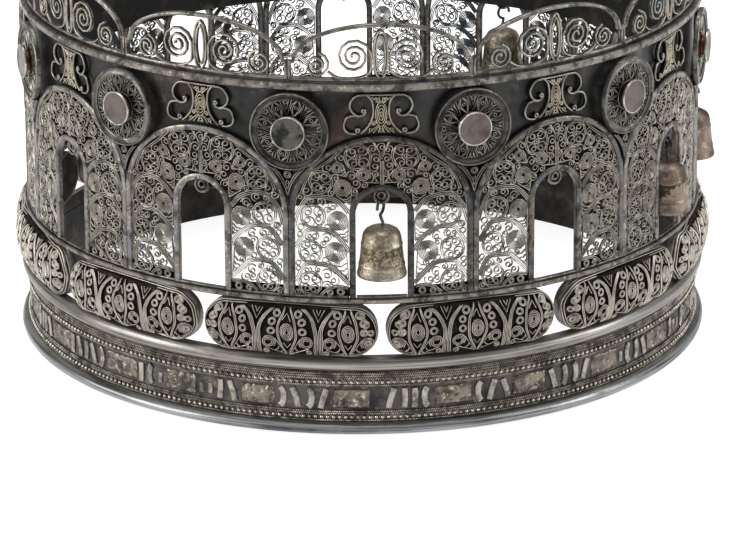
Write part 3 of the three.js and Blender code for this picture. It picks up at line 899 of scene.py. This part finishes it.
LOOP_MIDDLE = 70.9
LOOP_SILVER = old_silver("loop_silver", (50, 43, 40), (190, 165, 155), (340, 300, 285), 0.33)
loop_lines = [ring(0, LOOP_MIDDLE, 2.1), ring(0, LOOP_MIDDLE + 0.2, 1.0)]
loop_wire = swept(loop_lines, strip_section(0.7, 0.8, 0.2), LOOP_SILVER)

pier = curl_cluster(-19.4, 64.7, 3.6, [
    (-21.35, 66.15, 1.45, 200, -1), (-17.95, 66.3, 1.4, 80, 1), (-20.5, 63.1, 1.5, 250, 1),
    (-17.55, 63.6, 1.3, 0, -1)])
pier += [crescent(-20.1, 69.3, 0.95, 270, -1, 0.5), crescent(-16.9, 69.4, 1.15, 270, 1),
         crescent(-14.1, 67.9, 1.2, 180, -1), smooth_line([(-14.6, 69.0), (-13.2, 68.9), (-12.3, 67.7)], 3)]
pier += coil(-12.55, 63.4, 3.1, -9.6, 57.4)
pier += [ring(-23.0, 61.5, 0.95), ring(-23.3, 59.4, 0.75), ring(-15.4, 61.9, 0.7)]
pier += strands([(-24.6, 55.6), (-21.4, 60.2), (-18.83, 60.9), (-16.36, 61.0), (-13.90, 60.1),
                 (-11.27, 57.7), (-9.2, 54.4)])
pier += curl_cluster(-20.3, 54.3, 3.5, [
    (-21.5, 56.3, 1.3, 120, 1), (-18.7, 55.4, 1.35, 40, -1), (-22.05, 53.3, 1.35, 200, -1),
    (-19.2, 52.3, 1.4, 290, 1)])
pier += [crescent(-18.85, 59.0, 1.0, 90, -1), crescent(-15.62, 58.7, 1.2, 150, -1),
         smooth_line([(-16.2, 59.9), (-14.7, 59.9), (-13.5, 58.7)], 3)]
pier += coil(-13.3, 54.2, 3.15, -9.6, 46.4)
pier += [ring(-23.7, 50.9, 0.75), ring(-23.7, 49.2, 0.65), ring(-16.1, 52.0, 0.75)]
pier += strands([(-24.7, 45.4), (-21.9, 50.0), (-18.92, 50.7), (-15.12, 50.3), (-12.29, 47.9), (-9.2, 44.7)])
pier += curl_cluster(-20.3, 44.8, 3.5, [
    (-22.0, 46.0, 1.35, 150, 1), (-18.8, 46.2, 1.35, 50, -1), (-21.6, 43.2, 1.25, 250, -1),
    (-19.0, 43.2, 1.3, 320, 1)])
pier += [crescent(-20.9, 48.6, 0.95, 60, -1, 0.5), crescent(-18.2, 49.0, 0.8, 100, 1, 0.4),
         crescent(-15.6, 47.9, 1.3, 150, -1), smooth_line([(-16.0, 49.2), (-14.4, 49.0), (-13.3, 47.6)], 3),
         crescent(-13.4, 45.5, 1.25, 40, -1)]
pier += strands([(-17.3, 41.5), (-15.2, 43.3), (-12.5, 44.0), (-9.6, 43.7)], count=2)
pier += bead_ring(-11.6, 42.45, 1.15) + bead_ring(-14.6, 42.3, 0.95)

haunch = strands([(-24.9, 61.9), (-23.6, 66.4), (-20.8, 70.2), (-16.6, 70.9), (-12.4, 69.5), (-9.4, 66.0)])
haunch += curl_cluster(-17.2, 75.2, 3.4, [
    (-18.6, 76.9, 1.35, 130, 1), (-15.6, 76.5, 1.4, 30, -1), (-18.5, 73.6, 1.4, 230, -1),
    (-15.7, 73.5, 1.3, 320, 1)])
haunch += coil(-11.2, 73.4, 2.7, -8.9, 68.6)
haunch += coil(-5.1, 77.3, 2.1, -0.8, 75.0, eye=0.45, nested=2)
haunch += curl_cluster(-6.7, 82.6, 3.9, [
    (-8.5, 84.0, 1.4, 150, 1), (-5.1, 84.4, 1.35, 40, -1), (-8.3, 80.9, 1.4, 230, -1),
    (-5.1, 80.9, 1.4, 320, 1)])
haunch += coil(-12.4, 79.3, 1.9, -9.9, 76.9, eye=0.45, nested=2)
haunch += strands([(-22.6, 72.0), (-20.9, 76.0), (-17.6, 79.6), (-13.6, 82.4), (-10.6, 85.3)], count=2)
panel_lines = pier + haunch
panel_lines += mirrored(panel_lines)
panel_lines += [[(0.45, 74.5), (0.45, 81.5)], [(-0.45, 74.5), (-0.45, 81.5)], [(0, 74.5), (0, 81.5)]]
for spread in (0.0, 0.85, 1.7):
    panel_lines.append([(-1.9 - spread * 0.35, 86.9), (0, 82.0 + spread), (1.9 + spread * 0.35, 86.9)])
borders = [arch_line(ARCH_BAND, FILIGREE_LOW), window_line(WINDOW_FRAME, FILIGREE_LOW),
           [(-25, FILIGREE_LOW), (25, FILIGREE_LOW)]]
panel_lines += fill_with_curls(panel_lines + borders, in_panel, (-25, 25, 41, 88), 0.8, 1.3)
panel_wires = swept(panel_lines, wire_section(0.29, 0.6), FILIGREE)

for bay in range(BAYS):
    turn = bay * BAY_ANGLE
    node = f"arch_panel_{bay + 1:02d}"
    parts = [
        bent_copy(arch_frame, PANEL_RADIUS, turn),
        bent_copy(window_frame, PANEL_RADIUS, turn),
        bent_copy(sill_strip, PANEL_RADIUS - 0.05, turn),
        bent_copy(foot_back, FOOT_BACK_RADIUS, turn),
        bent_copy(panel_wires, PANEL_RADIUS + 0.15, turn, WIRE_SHAKE),
    ]
    if bay not in NO_LOOP:
        parts.append(bent_copy(loop_wire, LOOP_RADIUS, turn))
    # the arches away from the front take the lighter copies, as painted light
    if bay != SHADED_ARCH_BAY:
        lit_arch_silver = HALF_LIT_ARCH_SILVER if bay == HALF_SHADED_ARCH_BAY else SIDELIT_ARCH_SILVER
        parts[0].data.materials[0] = lit_arch_silver
        parts[1].data.materials[0] = lit_arch_silver
    fitted(joined(node + "_wirework", parts), node)


# Drum band
# A plain dark sheet that stiffens the crown behind the arch heads and the medallions.
SHEET_INNER = 98.2
SHEET_OUTER = 99.05
SHEET_FOOT = 70.0
SHEET_TOP = 101.4
SHEET = old_silver("dark_sheet", (18, 18, 18), (42, 42, 41), (100, 85, 70), 0.34, cloud_size=45,
                   tint=(48, 30, 21))
sheet_section = [(SHEET_INNER, SHEET_FOOT), (SHEET_OUTER, SHEET_FOOT),
                 (SHEET_OUTER, SHEET_TOP), (SHEET_INNER, SHEET_TOP)]
drum_band = turned_ring("drum_band_sheet", sheet_section, SHEET)
fitted(drum_band, "drum_band")


# Medallions
# Over each pillar a ring of flat wire with radial leaves of wire in it, and a worn disc on a
# short stem in its middle. A small filigree wedge fills the gap between the arches.
MEDALLION_LEVEL = 90.0
MEDALLION_RADIUS = 11.35
MEDAL_BAND = 2.0
DISC_RADIUS = 5.0
MEDALLION_BACK = 101.3
WEDGE_BACK = 100.6
LEAVES = 8
RIM_STEPS = 52
FLAT_FOLD = 35
# how far each ring sits from its true place, along and up
MEDALLION_SHIFTS = {0: (-0.8, 0.3), 11: (0.8, 0.1), 10: (0.15, -0.05), 1: (-0.1, 0.05)}
SPOTTED = (11, 4, 7)
# the two front rings keep the dark medallion silver as painted shade, the others take a lighter copy as
# painted light
SHADED_FRONT_RINGS = (0, 11)

MEDAL = old_silver("medallion_silver", (22, 20, 18), (70, 65, 58), (200, 188, 168), 0.3, **FRAME_GRIME,
                   reach=1.15)
DISC = old_silver("disc_silver", (75, 60, 52), (135, 113, 100), (170, 145, 125), 0.3, cloud=(0.3, 0.6))
STAR_WIRE = old_silver("star_silver", (22, 20, 17), (85, 77, 67), (320, 300, 260), 0.3, reach=1.0)
DARK_DISC = old_silver("spotted_disc", (20, 20, 19), (85, 80, 69), (130, 120, 100), 0.3, cloud=(0.40, 0.50))
# the disc's rim is painted bright, as a painted highlight from the lamp above
DISC_RIM_HIGHLIGHT = old_silver("disc_rim_painted_highlight", (220, 210, 190), (500, 480, 440), (700, 670, 620), 0.25, cloud_size=300,
                      grain=0.2)
# a lighter copy of the medallion silver, painted light for the side rings
SIDELIT_MEDAL = old_silver("side_medallion_painted_light", (50, 46, 41), (160, 150, 135), (320, 305, 275), 0.32,
                        **FRAME_GRIME, tint=(130, 140, 146))
MEDAL_EDGE = old_silver("medal_edge", (50, 47, 42), (170, 160, 145), (300, 285, 260), 0.28, cloud_size=200)
STEM = old_silver("stem_copper", (60, 30, 24), (170, 75, 55), (280, 150, 110), 0.45, cloud_size=300,
                  grain=0.25)


def flat_copy(mesh, distance, level, turn, along_shift=0.0):
    """A flat made piece set straight, at right angles to the way out from the axis."""
    along, up, out = points_of(mesh)
    copy = copy_at(mesh, along + along_shift, -(out + distance), up + level)
    copy.transform(Matrix.Rotation(math.radians(turn), 4, "Z"))
    return placed("flat", copy)


def turned_flat(name, profile, material, steps=44):
    """A profile of (radius, out) points turned about a medallion's own middle."""
    return spun(name, [(radius, 0, out) for radius, out in profile], material, steps, FLAT_FOLD)


star_lines = [ring(0, 0, 4.3), ring(0, 0, MEDALLION_RADIUS - MEDAL_BAND - 0.1)]
for leaf in range(LEAVES):
    angle = 360 * leaf / LEAVES + 8
    lean = math.radians(angle)
    for wide in (1.5, 0.95):
        for flank in (-1, 1):
            leaf_points = [(4.5, 0.1), (5.6, 0.55 * wide), (7.0, 1.0 * wide), (8.2, 0.75 * wide), (9.2, 0.2)]
            star_lines.append(smooth_line([
                (x * math.cos(lean) - flank * y * math.sin(lean),
                 x * math.sin(lean) + flank * y * math.cos(lean))
                for x, y in leaf_points], 2))
    star_lines.append(ring(7.2 * math.cos(lean), 7.2 * math.sin(lean), 0.45))
    between = math.radians(angle + 180 / LEAVES)
    for spread, foot in ((11, 4.6), (6, 6.2)):
        left = between - math.radians(spread)
        right = between + math.radians(spread)
        star_lines.append([(9.3 * math.cos(left), 9.3 * math.sin(left)),
                           (foot * math.cos(between), foot * math.sin(between)),
                           (9.3 * math.cos(right), 9.3 * math.sin(right))])
    star_lines.append(ring(8.5 * math.cos(between), 8.5 * math.sin(between), 0.5))
star_wires = swept(star_lines, wire_section(0.25, 0.5), STAR_WIRE)
medal_ring = turned_flat("medal_ring", [(MEDALLION_RADIUS - inset, out) for inset, out in (
    (MEDAL_BAND, 0.0), (0.1, 0.0), (0.0, 0.1), (0.0, 1.0), (0.15, 1.28), (0.5, 1.3), (0.7, 1.0), (1.5, 1.05),
    (1.7, 1.2), (MEDAL_BAND, 1.1), (MEDAL_BAND, 0.0))], MEDAL, RIM_STEPS)
medal_rim = turned_flat("medal_rim", [(MEDALLION_RADIUS - inset, out) for inset, out in (
    (0.55, 1.0), (0.05, 1.0), (0.05, 1.25), (0.2, 1.38), (0.42, 1.38), (0.55, 1.25), (0.55, 1.0))],
    MEDAL_EDGE, RIM_STEPS)
disc_face = turned_flat("disc_face", [
    (0, 2.6), (DISC_RADIUS - 0.45, 2.6), (DISC_RADIUS - 0.45, 3.05), (0, 3.05)], DISC)
dark_face = disc_face.copy()
dark_face.materials[0] = DARK_DISC
disc_rim = turned_flat("disc_rim", [(DISC_RADIUS - inset, out) for inset, out in (
    (0.5, 2.45), (0.1, 2.45), (0.0, 2.6), (0.0, 3.0), (0.12, 3.2), (0.4, 3.22), (0.5, 3.05), (0.5, 2.45))],
    DISC_RIM_HIGHLIGHT)
stem = turned_flat("stem", [(0, 0.0), (3.6, 0.0), (3.6, 1.0), (3.0, 1.3), (2.6, 2.6), (0, 2.6)], STEM, 28)
medal_lug = swept([[(-0.5, MEDALLION_RADIUS - 0.6), (0.5, MEDALLION_RADIUS - 0.6)]],
                  strip_section(1.0, 1.2), MEDAL)

wedge_lines = []
for lean in (-1, 1):
    wedge_lines.append(smooth_line([(0, -19.0), (lean * 1.0, -15.9), (lean * 2.8, -13.0),
                                    (lean * 5.0, -10.8)]))
    wedge_lines.append(smooth_line([(0, -17.2), (lean * 0.7, -15.3), (lean * 2.1, -12.9),
                                    (lean * 3.9, -11.1)]))
wedge_lines += [ring(0, -12.9, 0.95), ring(0, -12.9, 0.5), ring(0, -15.1, 0.45)]
wedge_wires = swept(wedge_lines, wire_section(0.42, 1.5), MEDAL)

for bay in range(BAYS):
    turn = (bay + 0.5) * BAY_ANGLE
    node = f"medallion_{bay + 1:02d}"
    along, up = MEDALLION_SHIFTS.get(bay, (hand.uniform(-0.12, 0.12), hand.uniform(-0.1, 0.1)))
    level = MEDALLION_LEVEL + up
    face = dark_face if bay in SPOTTED else disc_face
    star = star_wires.copy()
    star.transform(Matrix.Rotation(hand.uniform(0, 0.8), 4, "Z"))
    parts = [flat_copy(mesh, MEDALLION_BACK + raised, level, turn, along) for mesh, raised in (
        (medal_ring, 0), (medal_rim, 0), (star, 0.45), (stem, 0), (face, 0), (disc_rim, 0))]
    parts.append(flat_copy(wedge_wires, WEDGE_BACK, MEDALLION_LEVEL, turn))
    if bay in SPOTTED:
        parts.append(flat_copy(medal_lug, MEDALLION_BACK + 0.6, level, turn, along))
    # side rings painted lighter, as painted light
    if bay not in SHADED_FRONT_RINGS:
        parts[0].data.materials[0] = SIDELIT_MEDAL
    fitted(joined(node + "_star", parts), node)


# Lyre scrolls
# Over each arch crown a pair of C scrolls set back to back, with coiled ends.
LYRE_TOP = 100.9
LYRE_DISTANCE = 99.65
LYRE_SILVER = old_silver("lyre_silver", (35, 32, 29), (120, 112, 100), (300, 280, 245), 0.31, reach=1.0)
LYRE_GILT = old_silver("lyre_centre", (50, 43, 30), (170, 150, 105), (460, 420, 310), 0.32, reach=0.9)


def upright_oval(level, wide, tall, step):
    """A tall oval of wire on the middle line, drawn every so many degrees from its foot."""
    return [(wide * math.cos(math.radians(a)), level + tall * math.sin(math.radians(a)))
            for a in range(-90, 271, step)]


upper_scroll = smooth_line([(-2.9, 100.6), (-6.3, 100.55), (-8.0, 99.4), (-8.8, 97.4), (-8.0, 95.5),
                            (-6.3, 94.5), (-4.9, 94.8), (-4.3, 95.7)], 3)
lower_scroll = smooth_line([(-6.2, 94.25), (-7.0, 94.6), (-8.1, 94.6), (-9.7, 94.0), (-10.5, 91.8),
                            (-9.9, 90.1), (-8.3, 89.35), (-6.9, 89.35)], 3)
waist_line = smooth_line([(-3.8, 100.4), (-2.7, 99.0), (-2.25, 96.9), (-2.3, 94.6), (-3.0, 92.4),
                          (-4.3, 90.6), (-5.7, 89.4)], 3)
scroll_balls = [ring(-4.9, 95.9, 0.45), ring(-6.6, 90.3, 0.5)]
half_lyre = [upper_scroll, lower_scroll, waist_line, *scroll_balls]
lyre_lines = half_lyre + mirrored(half_lyre)
lyre_lines.append([(-5.8, LYRE_TOP - 0.35), (0, LYRE_TOP - 0.35), (5.8, LYRE_TOP - 0.35)])
centre_lines = [upright_oval(94.9, wide, tall, 24)
                for wide, tall in ((1.6, 3.5), (1.15, 2.7), (0.7, 1.8), (0.3, 0.8))]
for spread in (0.6, 1.6, 2.6):
    centre_lines += [[(-spread, 99.9), (-spread * 0.35, 98.3)], [(spread, 99.9), (spread * 0.35, 98.3)]]
    centre_lines += [[(-spread * 1.4, 89.5), (-spread * 0.35, 91.6)],
                     [(spread * 1.4, 89.5), (spread * 0.35, 91.6)]]
centre_lines += [crescent(-1.9, 92.3, 0.6, 0, 1, 0.3), crescent(1.9, 92.3, 0.6, 180, -1, 0.3),
                 ring(-1.3, 99.3, 0.45), ring(1.3, 99.3, 0.45), ring(0, 90.2, 0.5), ring(-2.9, 90.4, 0.45),
                 ring(2.9, 90.4, 0.45)]
lyre_centre = swept(centre_lines, wire_section(0.3, 0.9), LYRE_GILT)
lyre_wires = swept(lyre_lines, strip_section(0.6, 1.15, 0.2), LYRE_SILVER)
for bay in range(BAYS):
    node = f"lyre_scroll_{bay + 1:02d}"
    scroll = joined(node + "_wirework", [
        flat_copy(lyre_wires, LYRE_DISTANCE, 0, bay * BAY_ANGLE),
        flat_copy(lyre_centre, LYRE_DISTANCE, 0, bay * BAY_ANGLE),
    ])
    fitted(scroll, node)


# Top rail
# A flat wire like the arcade rail that closes the drum band.
top_rail = turned_ring("top_rail_wire", [
    (98.1, 101.7), (101.1, 101.7), (101.45, 102.1), (101.45, 103.5), (101.1, 103.9), (98.1, 103.9)], FRAME)
fitted(top_rail, "top_rail")


# Cresting
# A low scalloped edge, one wire framed leaf over each bay with a plain scroll in it.
CREST_FOOT = 104.2
CREST_TOP = 121.15
CREST_VALLEY = 109.7
CREST_RADIUS = 99.3
crest_half = math.pi * FACE / BAYS
leaf_edge = [(crest_half - 0.5, CREST_FOOT + 0.5), (crest_half - 0.5, CREST_VALLEY)]
for step in range(0, 13):
    angle = math.radians(step * 7.5)
    tall = CREST_TOP - 0.5 - CREST_VALLEY
    leaf_edge.append(((crest_half - 1.5) * math.cos(angle), CREST_VALLEY + tall * math.sin(angle)))
left_edge = [(-x, y) for x, y in reversed(leaf_edge)]
crest_frame = swept([leaf_edge + left_edge[1:]], strip_section(0.95, 1.5), FRAME)
crest_sill = swept([[(x, CREST_FOOT + 0.6) for x in (-26, -18, -9, 0, 9, 18, 26)]],
                   strip_section(1.1, 1.5), FRAME)
crest_scroll = [
    spiral(7.6, 111.4, 5.2, 2.6, 200, -1, 0.6),
    spiral(18.2, 108.9, 3.6, 2.2, 100, 1, 0.5),
    smooth_line([(2.6, 109.7), (3.2, 106.9), (6.5, 105.3), (12.0, 105.3), (15.0, 107.1)]),
]
crest_lines = crest_scroll + mirrored(crest_scroll)
crest_lines += [upright_oval(112, wide, tall, 20) for wide, tall in ((2.0, 7.0), (1.3, 5.6))]
crest_wires = swept(crest_lines, wire_section(0.7, 1.1), FILIGREE)
crest_parts = []
for bay in range(BAYS):
    for mesh in (crest_frame, crest_sill, crest_wires):
        crest_parts.append(bent_copy(mesh, CREST_RADIUS, bay * BAY_ANGLE))
fitted(joined("cresting_wirework", crest_parts), "cresting")


# Bells
# Small cast bells, brassy where the silver has worn, each on a bent wire hook that hangs
# from the loop in its window. Most windows have lost theirs.
BELL_BAYS = (0, 2, 3, 5, 8)
BELL_AXIS = 99.82
BELL_CROWN = 62.2
BELL_MOUTH = 47.7
BELL_STEPS = 48
# the engraved band lies between these levels, outside this radius
BAND_LOW = 51.3
BAND_HIGH = 56.7
BAND_DEPTH = 5.8
BELL_METAL = old_silver("bell_metal", (160, 125, 85), (360, 315, 245), (520, 475, 385), 0.33,
                        cloud_size=200, cloud=(0.36, 0.6), grain=0.7, grain_size=1500)
BELL_DARK = old_silver("bell_tarnish", (90, 65, 50), (250, 190, 148), (380, 310, 245), 0.38, cloud_size=130,
                       cloud=(0.38, 0.58), grain=0.7, grain_size=1500)
BELL_SPOTS = old_silver("bell_spots", (40, 32, 26), (240, 195, 145), (400, 345, 265), 0.38, cloud_size=170,
                        cloud=(0.46, 0.54), grain=0.7, grain_size=1500)
BELL_BAND = old_silver("bell_engraving", (70, 55, 35), (260, 220, 145), (600, 530, 380), 0.38,
                       cloud_size=700, cloud=(0.42, 0.56), grain=1.0, grain_size=1900)
bell_outside = [
    (0.0, BELL_CROWN), (1.8, 62.05), (3.4, 61.6), (4.6, 60.9), (5.25, 60.0), (5.55, 58.8), (5.75, 57.2),
    (5.95, 57.0), (5.85, 56.7), (6.0, 55.0), (6.2, 53.0), (6.4, 51.4), (6.62, 51.1), (6.58, 50.7),
    (6.75, 49.5), (6.98, 48.6), (7.08, 48.2), (7.02, BELL_MOUTH)]
bell_inside = [
    (6.5, BELL_MOUTH), (6.1, 50.0), (5.7, 53.0), (5.3, 57.0), (4.8, 59.4), (3.6, 60.8), (1.9, 61.4),
    (0.0, 61.6)]


def bell_mesh(name, metal, band):
    """The cast bell about its own axis, with its engraved band in a second metal."""
    places = [(radius * MM, 0, height * MM) for radius, height in bell_outside + bell_inside]
    mesh = spun(name, places, metal, BELL_STEPS)
    mesh.materials.append(band)
    for face in mesh.polygons:
        far = math.hypot(face.center.x, face.center.y)
        if BAND_LOW * MM < face.center.z < BAND_HIGH * MM and far > BAND_DEPTH * MM:
            face.material_index = 1
    return mesh


hook = bpy.data.curves.new("hook", "CURVE")
hook.dimensions = "3D"
hook.bevel_depth = 0.45 * MM
hook.bevel_resolution = 2
hook.use_fill_caps = True
hook_points = [(0, 0, 62.0), (0.35, 0, 63.0), (-0.1, 0.1, 64.1), (-0.35, 0.2, 65.1)]
for step in range(0, 15):
    angle = math.radians(-90 + step * 20)
    round_part = 2.05 * math.cos(angle)
    hook_points.append((-0.3 + round_part * 0.5, round_part * 0.87, 67.6 + 2.05 * math.sin(angle)))
bend = hook.splines.new("POLY")
bend.points.add(len(hook_points) - 1)
for point, (x, y, z) in zip(bend.points, hook_points):
    point.co = (x * MM, y * MM, z * MM, 1)
hook_mesh = mesh_of(hook, WINDOW_SILVER)
hook_mesh.shade_smooth()

light_bell = bell_mesh("light_bell", BELL_METAL, BELL_BAND)
dark_bell = bell_mesh("dark_bell", BELL_DARK, BELL_SPOTS)
brown_bell = bell_mesh("brown_bell", BELL_DARK, BELL_DARK)
TARNISHED = {2: dark_bell, 3: brown_bell}
for index, bay in enumerate(BELL_BAYS):
    node = f"bell_{index + 1:02d}"
    parts = []
    for mesh in (TARNISHED.get(bay, light_bell), hook_mesh):
        copy = mesh.copy()
        copy.transform(Matrix.Translation((0, -BELL_AXIS * MM, 0)))
        copy.transform(Matrix.Rotation(math.radians(bay * BAY_ANGLE), 4, "Z"))
        parts.append(placed("cast", copy))
    fitted(joined(node + "_cast", parts), node)
